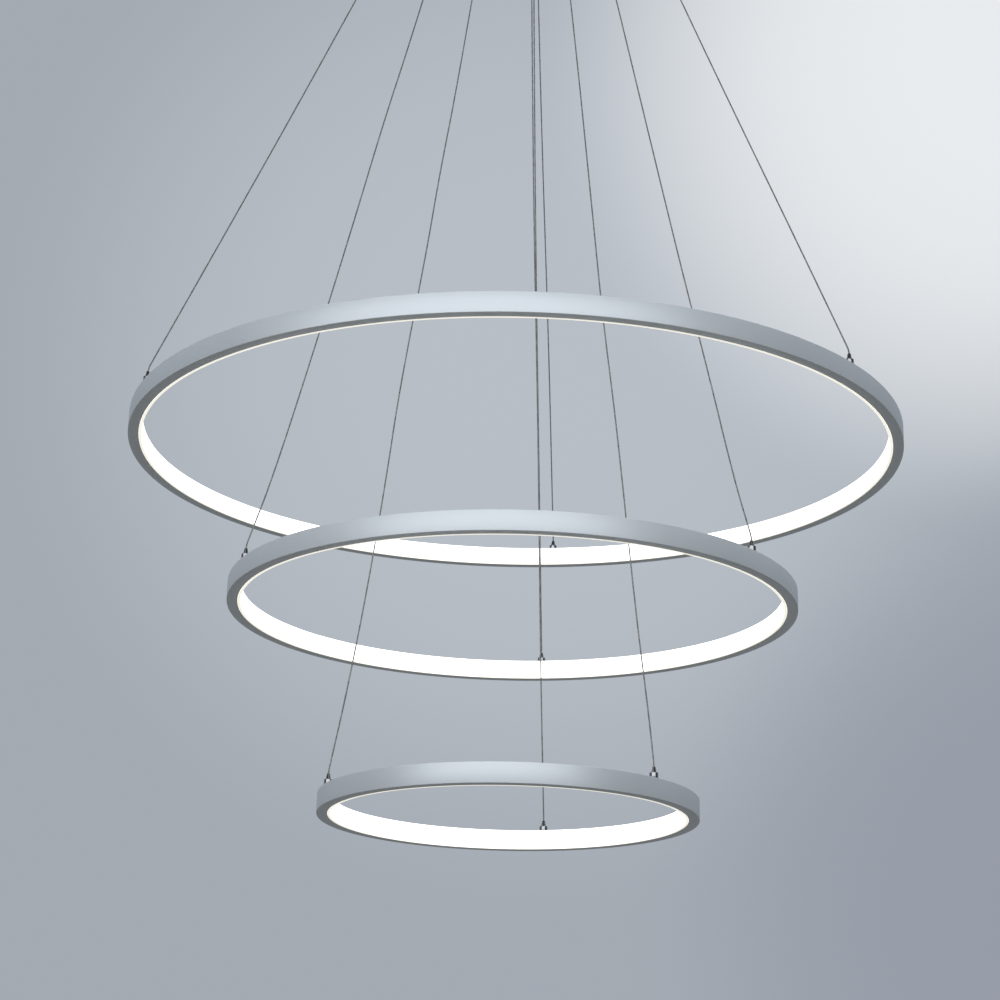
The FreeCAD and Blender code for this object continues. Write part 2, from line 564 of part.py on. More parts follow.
def tube(points, radius, bend):
    """A round tube on straight runs joined by tangent arcs."""
    edges = []
    radii = []
    last = points[0]
    for before, corner, after in zip(points, points[1:], points[2:]):
        back, ahead = before - corner, after - corner
        half_turn = (math.pi - back.getAngle(ahead)) / 2
        run = min(back.Length, ahead.Length)
        arc_radius = ARC_SHARE * run / math.tan(half_turn)
        if corner in (points[1], points[-2]):
            arc_radius = min(arc_radius, bend)
        reach = arc_radius * math.tan(half_turn)
        back.normalize()
        ahead.normalize()
        inner = back + ahead
        inner.normalize()
        apex = corner + inner * (arc_radius / math.cos(half_turn) - arc_radius)
        edges.append(Part.LineSegment(last, corner + back * reach).toShape())
        edges.append(Part.Arc(corner + back * reach, apex, corner + ahead * reach).toShape())
        last = corner + ahead * reach
        radii.append(round(arc_radius))
    edges.append(Part.LineSegment(last, points[-1]).toShape())
    path = Part.Wire(edges)
    section = Part.Wire(Part.makeCircle(radius, points[0], points[1] - points[0]))
    return path.makePipeShell([section], True, False), path.Length, radii


def make_cables():
    radius = size("cable_radius")
    for ring in RINGS:
        for side in SIDES:
            shape, length, radii = tube(cable_route(ring, side), radius, size("cable_bend"))
            share = shape.Volume / (math.pi * radius ** 2 * length)
            print("cable", ring, side, "length", round(length, 1), "volume share", round(share, 4),
                  "radii", radii)
            add_shape(f"cable_{ring}_{side}", shape)


# ---- build, check and export ----

make_canopy_cup()
make_ceiling_bracket()
make_canopy_screws()
make_grippers()
for ring in RINGS:
    for side in SIDES:
        make_plunger(ring, side)
make_springs()
make_driver()
make_terminals()
for ring in RINGS:
    make_ring(ring)
make_cables()
doc.recompute()

for thing in doc.Objects:
    if "Invalid" in thing.State or "Error" in thing.State:
        raise RuntimeError(f"{thing.Name} in {thing.State}")
for node in nodes:
    if node.Shape.isNull() or not node.Shape.isValid() or not node.Shape.Solids:
        raise RuntimeError(f"{node.Label} has no valid shape")

os.makedirs("parts", exist_ok=True)
for node in nodes:
    node.Shape.exportStep(f"parts/{node.Label}.step")
print(len(nodes), "nodes")
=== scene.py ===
import json
import math
import bmesh
import bpy
from mathutils import Matrix, Vector


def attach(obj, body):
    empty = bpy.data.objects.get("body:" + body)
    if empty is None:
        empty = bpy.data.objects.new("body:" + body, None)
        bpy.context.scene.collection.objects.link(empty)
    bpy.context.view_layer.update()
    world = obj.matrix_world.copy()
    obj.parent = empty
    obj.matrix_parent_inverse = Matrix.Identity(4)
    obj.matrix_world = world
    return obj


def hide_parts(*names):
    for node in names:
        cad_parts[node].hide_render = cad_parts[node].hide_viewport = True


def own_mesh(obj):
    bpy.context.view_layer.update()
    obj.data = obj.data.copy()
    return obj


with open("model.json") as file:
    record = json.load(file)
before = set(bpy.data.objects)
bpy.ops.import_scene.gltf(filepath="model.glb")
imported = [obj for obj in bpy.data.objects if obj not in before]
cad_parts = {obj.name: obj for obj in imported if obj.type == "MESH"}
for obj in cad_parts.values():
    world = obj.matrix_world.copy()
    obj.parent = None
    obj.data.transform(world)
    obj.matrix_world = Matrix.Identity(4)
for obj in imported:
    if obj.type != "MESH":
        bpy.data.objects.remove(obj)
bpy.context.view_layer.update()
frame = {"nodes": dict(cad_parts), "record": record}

mm = 0.001
touch = 1e-6  # in metres: corners closer than this are one
hair = 1e-7  # in metres: anything shorter is no edge
scene = bpy.context.scene
scene.view_settings.view_transform = "Standard"

# the camera comes from a fit to the rings' outlines
eye = {"place": (0, -2.285, -1.5914), "focal": 83.34, "sensor": 36, "turn": 0.37, "lift": 17.94, "roll": 1.26}
cameraData = bpy.data.cameras.new("eye")
cameraData.lens = eye["focal"]
cameraData.sensor_width = eye["sensor"]
camera = bpy.data.objects.new("eye", cameraData)
scene.collection.objects.link(camera)
scene.camera = camera
camera.matrix_world = (Matrix.Translation(eye["place"])
                       @ Matrix.Rotation(math.radians(eye["turn"]), 4, "Z")
                       @ Matrix.Rotation(math.radians(90 + eye["lift"]), 4, "X")
                       @ Matrix.Rotation(math.radians(eye["roll"]), 4, "Z"))
print("camera placed")

# sizes that several pieces share, in millimetres below the ceiling or out from the middle;
# turn is where a tier's back nipple stands, in degrees, and circle the radius that its grippers stand on
tiers = {
    "large": {"radius": 400, "drop": 807, "turn": 83, "circle": 88, "chips": 96},
    "medium": {"radius": 290, "drop": 974, "turn": 83, "circle": 62, "chips": 72},
    "small": {"radius": 190, "drop": 1185, "turn": 78, "circle": 33, "chips": 48},
}
sides = {"back": 0, "left": 120, "right": 240}
gripTurn = 83
section = {"height": 20, "width": 11, "wall": 1.6, "lens": 3, "leg": 2.2, "legThick": 1.2, "play": 0.1}
nipple = {"inset": 5.5, "radius": 4.25, "height": 5.5, "neck": 6, "foot": 2.6, "tip": 1.5, "bore": 0.9,
          "stub": 2, "stubFoot": 16, "edge": 0.35, "steps": 48}
canopy = {"radius": 110, "height": 30, "wall": 1.2, "edge": 3, "rim": 0.5, "steps": 180, "segments": 6}
grip = {"tail": -18.5, "mouth": -52, "seat": -30, "foot": -45, "radius": 5, "bore": 0.85, "steps": 40}


def around(radius, degrees, height):
    turn = math.radians(degrees)
    return Vector((radius * math.cos(turn), radius * math.sin(turn), height))


# lead is how far a bend's point is from the gripper or nipple, near how far its neighbours are from it,
# foot how high the cable ends above its ring's underside, raise how far a tier can go up, and the last
# three are the cables' lengths in metres
cable = {"diameter": 1.6, "lead": 3, "near": 9.6, "foot": 12.05, "strands": 6, "lay": 11, "step": 1.8,
         "strandRadius": 0.27, "fine": 48, "raise": 250, "large": 0.839, "medium": 0.971, "small": 1.165}

# the small waves of each cable: share of the way down, millimetres towards the middle, millimetres round
strays = {
    ("large", "back"): [(0.36, 0.8, 1.0), (0.7, 0.4, -0.8)],
    ("large", "left"): [(0.3, 1.0, 0), (0.58, 2.0, 0.4), (0.82, 1.1, 0)],
    ("large", "right"): [(0.34, 0.3, 0.5), (0.55, 0.9, 0), (0.8, 0.2, 0.4)],
    ("medium", "back"): [(0.28, 0.6, 1.4), (0.52, 1.0, 1.7), (0.8, 0.4, 0.6)],
    ("medium", "left"): [(0.34, 2.7, 0), (0.44, 1.8, 0), (0.6, 4.1, 0.5), (0.78, 5.3, 0), (0.92, 4.6, 0)],
    ("medium", "right"): [(0.26, 0.6, 0), (0.47, 2.1, 0), (0.67, 3.4, 0.4), (0.79, 2.2, 0), (0.93, 3.0, 0)],
    ("small", "back"): [(0.22, 0.5, 1.2), (0.4, 0.9, 1.8), (0.62, 0.3, 0.3), (0.84, 0.6, 1.0)],
    ("small", "left"): [(0.29, 3.4, 0), (0.41, 1.7, 0.4), (0.48, 2.9, 0), (0.63, 1.0, 0),
                        (0.72, 4.0, 0.3), (0.83, 5.4, 0), (0.93, 3.6, 0)],
    ("small", "right"): [(0.25, -1.3, 0), (0.45, 1.3, 0.3), (0.57, 2.8, 0), (0.68, 0.1, 0),
                         (0.86, 2.2, 0.4), (0.95, -0.2, 0)],
}


def cableRoute(tier, side):  # the cable's own points, and one more at each side of its two bends
    facts = tiers[tier]
    top = (facts["circle"], gripTurn + sides[side])
    low = (facts["radius"] - nipple["inset"], facts["turn"] + sides[side])
    neck = section["height"] + nipple["height"] + nipple["neck"] - facts["drop"]
    start = around(*top, grip["mouth"] - cable["lead"])
    end = around(*low, neck + cable["lead"])
    out = Vector((end.x - start.x, end.y - start.y, 0)).normalized()
    beside = Vector((-out.y, out.x, 0))
    middle = [start + (end - start) * share - out * inward + beside * sideways
              for share, inward, sideways in strays[tier, side]]
    near = cable["near"]
    upright = Vector((0, 0, near))
    afterStart = start + (middle[0] - start).normalized() * near
    beforeEnd = end + (middle[-1] - end).normalized() * near
    points = [around(*top, grip["tail"]), start + upright, start, afterStart, *middle,
              beforeEnd, end, end - upright, around(*low, cable["foot"] - facts["drop"])]
    return [point * mm for point in points]


def meshOf(curve):  # the mesh that a curve gives, without keeping the curve's object
    carrier = bpy.data.objects.new(curve.name, curve)
    scene.collection.objects.link(carrier)
    bpy.context.view_layer.update()
    mesh = bpy.data.meshes.new_from_object(carrier)
    bpy.data.objects.remove(carrier)
    return mesh


def lineOf(name, points):  # the smooth line through the route
    curve = bpy.data.curves.new(name, "CURVE")
    curve.dimensions = "3D"
    curve.resolution_u = cable["fine"]
    spline = curve.splines.new("NURBS")
    spline.points.add(len(points) - 1)
    for knot, point in zip(spline.points, points):
        knot.co = (*point, 1)
    spline.order_u = 3
    spline.use_endpoint_u = True
    line = meshOf(curve)
    found = [v.co.copy() for v in line.vertices]
    bpy.data.meshes.remove(line)
    return found


def spaced(line, step):  # the same line in even steps
    found = [line[0]]
    left = step
    for a, b in zip(line, line[1:]):
        run = (b - a).length
        while left <= run:
            found.append(a.lerp(b, left / run))
            left += step
        left -= run
    return found + [line[-1]]


def strandMesh(name, line):  # one straight strand with the others laid round it
    curve = bpy.data.curves.new(name, "CURVE")
    curve.dimensions = "3D"
    curve.bevel_depth = cable["strandRadius"] * mm
    curve.bevel_resolution = 1
    curve.use_fill_caps = True
    outer = (cable["diameter"] / 2 - cable["strandRadius"]) * mm
    twist = math.tau * cable["step"] / cable["lay"]
    for strand in range(cable["strands"] + 1):
        reach = outer if strand else 0
        spline = curve.splines.new("POLY")
        spline.points.add(len(line) - 1)
        for k, point in enumerate(line):
            ahead = (line[min(k + 1, len(line) - 1)] - line[max(k - 1, 0)]).normalized()
            across = ahead.cross(Vector((1, 0, 0))).normalized()
            turn = twist * k + math.tau * strand / cable["strands"]
            place = point + (across * math.cos(turn) + ahead.cross(across) * math.sin(turn)) * reach
            spline.points[k].co = (*place, 1)
    return meshOf(curve)


class Knot:  # a socket that can be added, multiplied and so on
    def __init__(self, maker, socket):
        self.maker, self.socket = maker, socket

    def __add__(self, other):
        return self.maker.maths("ADD", self, other)

    def __sub__(self, other):
        return self.maker.maths("SUBTRACT", self, other)

    def __rsub__(self, other):
        return self.maker.maths("SUBTRACT", other, self)

    def __mul__(self, other):
        return self.maker.maths("MULTIPLY", self, other)

    def __truediv__(self, other):
        return self.maker.maths("DIVIDE", self, other)

    def __pow__(self, other):
        return self.maker.maths("POWER", self, other)

    __radd__ = __add__
    __rmul__ = __mul__


class Tree:  # makes the nodes of a material or of the world
    def __init__(self, owner):
        owner.use_nodes = True
        self.tree = owner.node_tree
        self.tree.nodes.clear()

    def node(self, kind, settings=None, values=None, out=0):
        node = self.tree.nodes.new(kind)
        for key, value in (settings or {}).items():
            if key == "stops":
                ramp = node.color_ramp
                while len(ramp.elements) < len(value):
                    ramp.elements.new(1)
                for stop, (place, colour) in zip(ramp.elements, value):
                    stop.position, stop.color = place, (*colour, 1)
            else:
                setattr(node, key, value)
        for key, value in (values or {}).items():
            if isinstance(value, Knot):
                self.tree.links.new(value.socket, node.inputs[key])
            else:
                if isinstance(value, tuple) and len(value) == 3 and node.inputs[key].type == "RGBA":
                    value = (*value, 1)
                node.inputs[key].default_value = value
        return Knot(self, node.outputs[out])

    def maths(self, operation, a, b=0.0):
        return self.node("ShaderNodeMath", {"operation": operation}, {0: a, 1: b})

    def spread(self, value, low, high, newLow=0.0, newHigh=1.0):
        return self.node("ShaderNodeMapRange", {"interpolation_type": "SMOOTHSTEP"},
                         {"Value": value, "From Min": low, "From Max": high, "To Min": newLow,
                          "To Max": newHigh})

    def blend(self, share, a, b):
        return self.node("ShaderNodeMix", {"data_type": "RGBA"}, {0: share, 6: a, 7: b}, out=2)

    def vector(self, x, y, z):
        return self.node("ShaderNodeCombineXYZ", None, {0: x, 1: y, 2: z})

    def parts(self, vector):
        split = self.tree.nodes.new("ShaderNodeSeparateXYZ")
        self.tree.links.new(vector.socket, split.inputs[0])
        return [Knot(self, output) for output in split.outputs]

    def noise(self, place, scale, detail=2.0, rough=0.5):
        return self.node("ShaderNodeTexNoise", None,
                         {"Vector": place, "Scale": scale, "Detail": detail, "Roughness": rough})


class Finish(Tree):
    def __init__(self, name, **fixed):
        self.material = bpy.data.materials.new(name)
        super().__init__(self.material)
        self.fixed = {key.replace("_", " "): value for key, value in fixed.items()}
        self.place = self.node("ShaderNodeTexCoord", out=3)
        self.x, self.y, self.z = self.parts(self.place)
        self.radius = (self.x * self.x + self.y * self.y) ** 0.5

    def facing(self):  # how far the surface faces up, from -1 to 1
        return self.parts(self.node("ShaderNodeNewGeometry", out=1))[2]

    def bump(self, height, depth, strength=1.0):
        return self.node("ShaderNodeBump", None, {"Strength": strength, "Distance": depth, "Height": height})

    def done(self, values):
        surface = self.node("ShaderNodeBsdfPrincipled", None, {**self.fixed, **values})
        output = self.tree.nodes.new("ShaderNodeOutputMaterial")
        self.tree.links.new(surface.socket, output.inputs["Surface"])
        return self.material


def shade(colour, level):
    return tuple(min(1.0, level * c) for c in colour)


# one paint over the fine lines of a rolled channel and of a spun cup
silver = {"colour": (0.56, 0.60, 0.635), "metal": 0.35, "rough": 0.46, "dust": (0.60, 0.59, 0.56),
          "dustFull": 0.7, "peel": 1400.0, "along": 6, "rolled": 900, "spun": 2600}
ringPaint = {"cloud": 14.0, "shades": (0.955, 1.04), "dustGrain": 160.0, "dustFrom": 0.45, "dustTilt": 0.6,
             "dustShare": 0.25, "roughLines": 0.06, "roughCloud": 0.08, "roughDust": 0.12,
             "lines": 0.6, "pits": 0.25, "depth": 0.000012, "strength": 0.4}
canopyPaint = {"cloud": 22.0, "shades": (0.95, 1.05), "dustGrain": 120.0, "dustFrom": 0.4, "dustTilt": 0.5,
               "dustShare": 0.4, "roughLines": 0.14, "roughCloud": 0.0, "roughDust": 0.15,
               "lines": 0.7, "pits": 0.3, "depth": 0.00002, "strength": 0.5}


def silverPaint(paint, lines, facts):
    cloud = paint.noise(paint.place, facts["cloud"], 3.0)
    peel = paint.noise(paint.place, silver["peel"], 2.0)
    specks = paint.noise(paint.place, facts["dustGrain"], 4.0)
    settled = paint.spread(specks, facts["dustFrom"], silver["dustFull"])
    dust = paint.spread(paint.facing(), facts["dustTilt"], 1.0) * settled
    dark, light = (shade(silver["colour"], level) for level in facts["shades"])
    tone = paint.blend(dust * facts["dustShare"], paint.blend(cloud, dark, light), silver["dust"])
    rough = (silver["rough"] + (lines - 0.5) * facts["roughLines"] + (cloud - 0.5) * facts["roughCloud"]
             + dust * facts["roughDust"])
    height = lines * facts["lines"] + peel * facts["pits"]
    return paint.done({"Base Color": tone, "Roughness": rough,
                       "Normal": paint.bump(height, facts["depth"], facts["strength"])})


def ringSilver():
    paint = Finish("ringSilver", Metallic=silver["metal"])
    spot = paint.vector(paint.x * silver["along"], paint.y * silver["along"],
                        (paint.z + paint.radius) * silver["rolled"])
    return silverPaint(paint, paint.noise(spot, 1.0, 3.0), ringPaint)


def canopySilver():
    paint = Finish("canopySilver", Metallic=silver["metal"])
    spot = paint.vector((paint.radius + paint.z) * silver["spun"], 0.0, 0.0)
    return silverPaint(paint, paint.noise(spot, 1.0, 3.0), canopyPaint)


# a face that looks up or down is the lens's edge, which shines less
lens = {"strength": 1.7, "face": (1.0, 0.98, 0.935), "edge": (0.42, 0.40, 0.34), "body": (0.86, 0.85, 0.82),
        "edgeFrom": 0.35, "edgeTo": 0.8, "flow": 30.0, "faceShade": 0.96, "bodyShade": 0.97,
        "rough": 0.45, "grain": 900.0, "depth": 0.00003, "bump": 0.4}


def opalLens():
    opal = Finish("opalLens", Roughness=lens["rough"], Emission_Strength=lens["strength"])
    side = opal.spread(opal.maths("ABSOLUTE", opal.facing()), lens["edgeFrom"], lens["edgeTo"])
    flow = opal.noise(opal.place, lens["flow"], 2.0)
    face = opal.blend(flow, shade(lens["face"], lens["faceShade"]), lens["face"])
    fine = opal.noise(opal.place, lens["grain"], 2.0)
    return opal.done({"Base Color": opal.blend(flow, lens["body"], shade(lens["body"], lens["bodyShade"])),
                      "Emission Color": opal.blend(side, face, lens["edge"]),
                      "Normal": opal.bump(fine, lens["depth"], lens["bump"])})


polish = {"smudge": 90.0, "shades": (0.9, 1.06), "roughSmudge": 0.12, "roughFine": 0.06, "strength": 0.5}


def bright(name, colour, rough, grain=700.0, depth=0.00002):  # polished and drawn metals
    plate = Finish(name, Metallic=1.0)
    smudge = plate.noise(plate.place, polish["smudge"], 4.0, 0.6)
    fine = plate.noise(plate.place, grain, 3.0, 0.6)
    dark, light = (shade(colour, level) for level in polish["shades"])
    return plate.done({"Base Color": plate.blend(smudge, dark, light),
                       "Roughness": (rough + (smudge - 0.5) * polish["roughSmudge"]
                                     + (fine - 0.5) * polish["roughFine"]),
                       "Normal": plate.bump(fine, depth, polish["strength"])})


rope = {"clean": (0.27, 0.27, 0.262), "grimy": (0.17, 0.17, 0.165), "metal": 0.7, "grime": 160.0,
        "grimeRange": (0.35, 0.7), "across": 3000.0, "along": 90.0, "rough": 0.44, "roughGrime": 0.14,
        "roughDrawn": 0.1, "depth": 0.00001, "bump": 0.5}


def cableSteel():  # drawn wire with the grime that sits between strands
    wire = Finish("cableSteel", Metallic=rope["metal"])
    grime = wire.spread(wire.noise(wire.place, rope["grime"], 4.0), *rope["grimeRange"])
    spot = wire.vector(wire.x * rope["across"], wire.y * rope["across"], wire.z * rope["along"])
    drawn = wire.noise(spot, 1.0, 2.0)
    return wire.done({"Base Color": wire.blend(grime, rope["clean"], rope["grimy"]),
                      "Roughness": (rope["rough"] + grime * rope["roughGrime"]
                                    + (drawn - 0.5) * rope["roughDrawn"]),
                      "Normal": wire.bump(drawn, rope["depth"], rope["bump"])})


zinc = {"flakes": 380.0, "blue": (0.50, 0.53, 0.56), "yellow": (0.58, 0.56, 0.49),
        "fresh": (0.72, 0.73, 0.73), "tint": 45.0, "tintRange": (0.35, 0.65), "flakeShare": 0.5,
        "rough": 0.3, "roughFlake": 0.14, "grain": 900.0, "depth": 0.00002, "bump": 0.5}


def zincSteel():  # zinc flakes with a faint blue and yellow tint
    plate = Finish("zincSteel", Metallic=1.0)
    cells = plate.node("ShaderNodeTexVoronoi", None, {"Vector": plate.place, "Scale": zinc["flakes"]}, out=1)
    flake = plate.parts(cells)[0]
    tint = plate.spread(plate.noise(plate.place, zinc["tint"], 3.0), *zinc["tintRange"])
    dull = plate.blend(tint, zinc["blue"], zinc["yellow"])
    fine = plate.noise(plate.place, zinc["grain"], 3.0)
    return plate.done({"Base Color": plate.blend(flake * zinc["flakeShare"], dull, zinc["fresh"]),
                       "Roughness": zinc["rough"] + flake * zinc["roughFlake"],
                       "Normal": plate.bump(fine, zinc["depth"], zinc["bump"])})


mould = {"spark": 1600.0, "cloud": 40.0, "shades": (0.93, 1.05), "roughCloud": 0.15, "depth": 0.00004,
         "strength": 0.7}


def moulded(name, colour, rough):
    shell = Finish(name)
    spark = shell.noise(shell.place, mould["spark"], 2.0)
    cloud = shell.noise(shell.place, mould["cloud"], 3.0)
    dark, light = (shade(colour, level) for level in mould["shades"])
    return shell.done({"Base Color": shell.blend(cloud, dark, light),
                       "Roughness": rough + (cloud - 0.5) * mould["roughCloud"],
                       "Normal": shell.bump(spark, mould["depth"], mould["strength"])})


# the components stand in a row, and ends are where each one stops, as a share of the board's length
board = {"x": -58, "length": 92, "high": -23.1, "copper": (0.10, 0.33, 0.16), "mask": (0.035, 0.17, 0.075),
         "tape": (0.72, 0.52, 0.10), "sleeve": (0.02, 0.025, 0.06), "sink": (0.55, 0.56, 0.57),
         "ends": (0.28, 0.62, 0.74), "traces": 2400.0, "traceRange": (0.4, 0.6), "waver": 400.0, "sway": 2.0,
         "rough": 0.3, "roughRaised": 0.15, "depth": 0.00003, "bump": 0.6}


def boardGreen():  # the mask with its traces, and each component by its place on the board
    plate = Finish("boardGreen")
    wander = plate.maths("SINE", plate.y * board["waver"]) * board["sway"]
    trace = plate.spread(plate.maths("SINE", plate.x * board["traces"] + wander), *board["traceRange"])
    start = (plate.x / mm - board["x"]) / board["length"]
    colours = (board["sleeve"], board["tape"], board["sink"], board["sleeve"])
    stops = list(zip((0.0, *board["ends"]), colours))
    parts = plate.node("ShaderNodeValToRGB", {"stops": stops}, {"Fac": start})
    parts.socket.node.color_ramp.interpolation = "CONSTANT"
    raised = plate.spread(plate.z, board["high"] * mm, (board["high"] + 0.1) * mm)
    tone = plate.blend(raised, plate.blend(trace, board["mask"], board["copper"]), parts)
    return plate.done({"Base Color": tone, "Roughness": board["rough"] + raised * board["roughRaised"],
                       "Normal": plate.bump(trace, board["depth"], board["bump"])})


# pairs are where a pattern starts and is full, in millimetres or, for padBeat, of its wave
strip = {"chipBack": (2.3, 2.4), "chipTall": (1.2, 1.0), "padBeat": (-0.96, -0.99), "padTall": (2.6, 2.3),
         "board": (0.86, 0.86, 0.83), "phosphor": (0.93, 0.72, 0.16), "pad": (0.78, 0.52, 0.24),
         "rough": 0.4, "roughPad": 0.15, "grain": 900.0, "depth": 0.00003, "bump": 0.5}


def stripWhite(tier):  # white board, copper pads between the chips, yellow phosphor on their faces
    tape = Finish(tier + "Strip")
    facts = tiers[tier]
    middle = (section["height"] / 2 - facts["drop"]) * mm
    off = tape.maths("ABSOLUTE", tape.z - middle)
    chip = tape.spread(tape.radius, *((facts["radius"] - back) * mm for back in strip["chipBack"]))
    glow = chip * tape.spread(off, *(tall * mm for tall in strip["chipTall"]))
    beat = tape.maths("COSINE", tape.maths("ARCTAN2", tape.y, tape.x) * float(facts["chips"]))
    pad = tape.spread(beat, *strip["padBeat"]) * tape.spread(off, *(tall * mm for tall in strip["padTall"]))
    tone = tape.blend(pad, strip["board"], strip["pad"])
    fine = tape.noise(tape.place, strip["grain"], 2.0)
    return tape.done({"Base Color": tape.blend(glow, tone, strip["phosphor"]),
                      "Roughness": strip["rough"] - pad * strip["roughPad"],
                      "Normal": tape.bump(fine, strip["depth"], strip["bump"])})


finishes = {
    "ring_silver": ringSilver(),
    "opal_lens": opalLens(),
    "canopy_silver": canopySilver(),
    "zinc_steel": zincSteel(),
    "chrome_trim": bright("chromeTrim", (0.80, 0.81, 0.82), 0.12, 500.0, 0.00001),
    "spring_steel": bright("springSteel", (0.55, 0.56, 0.57), 0.25),
    "cable_steel": cableSteel(),
    "brass_screw": bright("brassScrew", (0.78, 0.6, 0.3), 0.28),
    "strip_white": moulded("stripWhite", strip["board"], strip["rough"]),
    "driver_plastic": moulded("driverPlastic", (0.80, 0.81, 0.81), 0.5),
    "board_green": boardGreen(),
    "terminal_plastic": moulded("terminalPlastic", (0.84, 0.84, 0.79), 0.35),
}
# the nipples are chromed like the trim: this darker copy of chrome is painted shade, standing in for the dark
# reflections on them
shaded_chrome = bright("shadedChrome", (0.26, 0.265, 0.27), 0.16, 500.0, 0.00001)
ownFinish = {tier + "_led_strip": stripWhite(tier) for tier in tiers}
ownFinish.update({tier + "_cable_nipples": shaded_chrome for tier in tiers})
slotOf = {part["node"]: part["material_slot"] for part in frame["record"]["subparts"]}
bodyOf = {node: body for body, held in frame["record"]["behaviour"]["bodies"].items() for node in held}
for name, holder in frame["nodes"].items():
    holder.data.materials.clear()
    holder.data.materials.append(ownFinish.get(name, finishes[slotOf[name]]))
print("finishes made")


def place(name, mesh, nodes, sharp=35):  # nodes are those of the frame that the piece stands for
    mesh.shade_smooth()
    mesh.set_sharp_from_angle(angle=math.radians(sharp))
    mesh.materials.clear()
    mesh.materials.append(ownFinish.get(nodes[0], finishes[slotOf[nodes[0]]]))
    piece = bpy.data.objects.new(name, mesh)
    scene.collection.objects.link(piece)
    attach(piece, bodyOf[nodes[0]])
    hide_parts(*nodes)
    return piece


def finished(bm, name):
    bmesh.ops.remove_doubles(bm, verts=bm.verts, dist=touch)
    bmesh.ops.dissolve_degenerate(bm, edges=bm.edges, dist=hair)
    bmesh.ops.holes_fill(bm, edges=bm.edges, sides=0)
    bmesh.ops.recalc_face_normals(bm, faces=bm.faces)
    mesh = bpy.data.meshes.new(name)
    bm.to_mesh(mesh)
    bm.free()
    return mesh


def at(x=0.0, y=0.0, z=0.0, turn=0.0, axis="Z"):  # a move in millimetres, after a turn
    return Matrix.Translation(Vector((x, y, z)) * mm) @ Matrix.Rotation(math.radians(turn), 4, axis)


def turned(corners, steps, rounding=0.0, turn=360.0, start=0.0, segments=3):
    # an outline of (across, up) or (across, up, its own rounding), spun about the upright axis
    bm = bmesh.new()
    loop = [bm.verts.new((corner[0] * mm, 0, corner[1] * mm)) for corner in corners]
    bm.faces.new(loop)
    for vert, corner in zip(loop, corners):
        amount = corner[2] if len(corner) > 2 else rounding
        if amount and corner[0] > 0:
            bmesh.ops.bevel(bm, geom=[vert], offset=amount * mm, offset_type="OFFSET", segments=segments,
                            profile=0.5, affect="VERTICES", material=-1, clamp_overlap=True)
    bmesh.ops.rotate(bm, verts=bm.verts, cent=(0, 0, 0), matrix=Matrix.Rotation(math.radians(start), 3, "Z"))
    whole = turn >= 360
    if whole:
        bmesh.ops.delete(bm, geom=bm.faces[:], context="FACES_ONLY")
        onAxis = [edge for edge in bm.edges if all(v.co.xy.length < hair for v in edge.verts)]
        bmesh.ops.delete(bm, geom=onAxis, context="EDGES")
    bmesh.ops.spin(bm, geom=bm.verts[:] + bm.edges[:] + bm.faces[:], cent=(0, 0, 0), axis=(0, 0, 1),
                   angle=math.radians(turn), steps=steps, use_merge=whole, use_normal_flip=False,
                   use_duplicate=False)
    bmesh.ops.remove_doubles(bm, verts=bm.verts, dist=touch)
    bmesh.ops.recalc_face_normals(bm, faces=bm.faces)
    return bm


def soften(bm, edges, amount, segments=2):
    bmesh.ops.bevel(bm, geom=edges, offset=amount * mm, offset_type="OFFSET", segments=segments, profile=0.5,
                    affect="EDGES", material=-1, clamp_overlap=True)


def block(low, high, rounding=0.3, corner=0.0):  # a box with rounded edges, its upright ones more if asked
    bm = bmesh.new()
    low, high = Vector(low) * mm, Vector(high) * mm
    bmesh.ops.create_cube(bm, size=1, matrix=Matrix.Translation((low + high) / 2)
                          @ Matrix.Diagonal((*(high - low), 1)))
    if corner:
        soften(bm, [edge for edge in bm.edges if edge.verts[0].co.xy == edge.verts[1].co.xy], corner, 5)
    if rounding:
        level = [edge for edge in bm.edges if edge.is_manifold and edge.calc_face_angle() > 0.8]
        soften(bm, level, rounding)
    return bm


def joined(bm, shape, places=(Matrix(),)):  # adds a shape to another, once at each place
    mesh = bpy.data.meshes.new("shape")
    shape.to_mesh(mesh)
    shape.free()
    last = Matrix()
    for spot in places:
        mesh.transform(spot @ last.inverted())
        last = spot
        bm.from_mesh(mesh)
    bpy.data.meshes.remove(mesh)
    return bm


def flatPart(bm, height):  # the faces at one height, with their edges and corners
    faces = [face for face in bm.faces if all(abs(v.co.z - height * mm) < touch for v in face.verts)]
    return faces + list({e for face in faces for e in face.edges} | {v for face in faces for v in face.verts})


def sink(bm, faces, move):  # pushes a patch of faces in, with walls round it
    pushed = bmesh.ops.extrude_face_region(bm, geom=faces)["geom"]
    bmesh.ops.delete(bm, geom=faces, context="FACES")
    bmesh.ops.translate(bm, verts=[v for v in pushed if isinstance(v, bmesh.types.BMVert)], vec=move)


def recessed(bm, height, depth, slots):  # sinks slots, each a middle and half sizes, into a level face
    for x, y, halfX, halfY in slots:
        cuts = [((x + s * halfX, 0, 0), (1, 0, 0)) for s in (-1, 1)]
        cuts += [((0, y + s * halfY, 0), (0, 1, 0)) for s in (-1, 1)]
        for point, way in cuts:
            bmesh.ops.bisect_plane(bm, geom=flatPart(bm, height), plane_co=Vector(point) * mm, plane_no=way,
                                   dist=hair)
    inside = []
    for face in flatPart(bm, height):
        if isinstance(face, bmesh.types.BMFace):
            middle = face.calc_center_median() / mm
            if any(abs(middle.x - x) < halfX and abs(middle.y - y) < halfY for x, y, halfX, halfY in slots):
                inside.append(face)
    sink(bm, inside, (0, 0, -depth * mm))
    return bm


def screwHead(corners, top, slots, depth, steps=32, rounding=0.15):  # a turned screw, and its driver's recess
    return recessed(turned(corners, steps, rounding), top, depth, slots)


